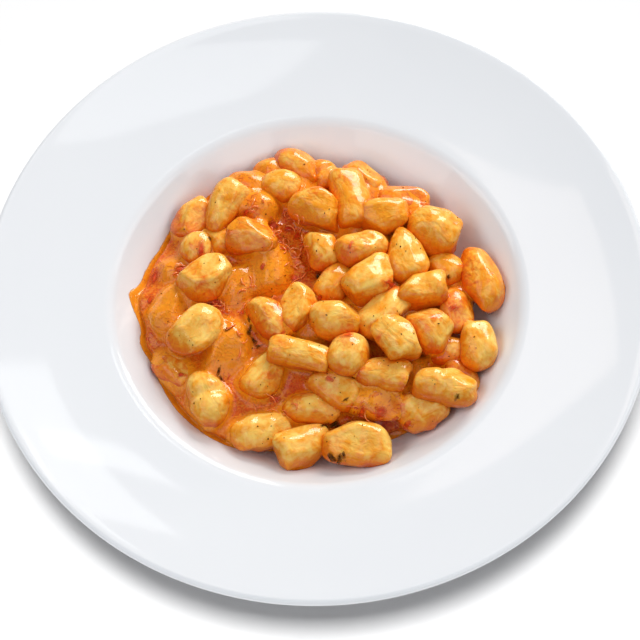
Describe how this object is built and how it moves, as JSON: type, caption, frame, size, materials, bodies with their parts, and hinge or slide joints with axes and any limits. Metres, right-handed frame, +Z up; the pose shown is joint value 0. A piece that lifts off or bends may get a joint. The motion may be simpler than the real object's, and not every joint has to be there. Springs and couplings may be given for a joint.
{
  "type": "potato gnocchi in a pasta plate",
  "caption": "Potato gnocchi in tomato cream sauce, heaped in the well of a round wide-rimmed porcelain pasta plate on a foot ring.",
  "frame": {"origin": "centre of the foot ring on the table, under the middle of the plate", "axes": "+Z up along the plate's own axis, -Y towards the diner, +X to the diner's right"},
  "size_m": [0.3, 0.3, 0.0449],
  "materials": {
    "porcelain": "glossy white glaze",
    "sauce": "wet, orange",
    "gnocchi": "wet, golden"
  },
  "bodies": {
    "root": {"plate": "porcelain", "sauce": "sauce", "gnocchi_heap": "gnocchi"}
  },
  "joints": []
}
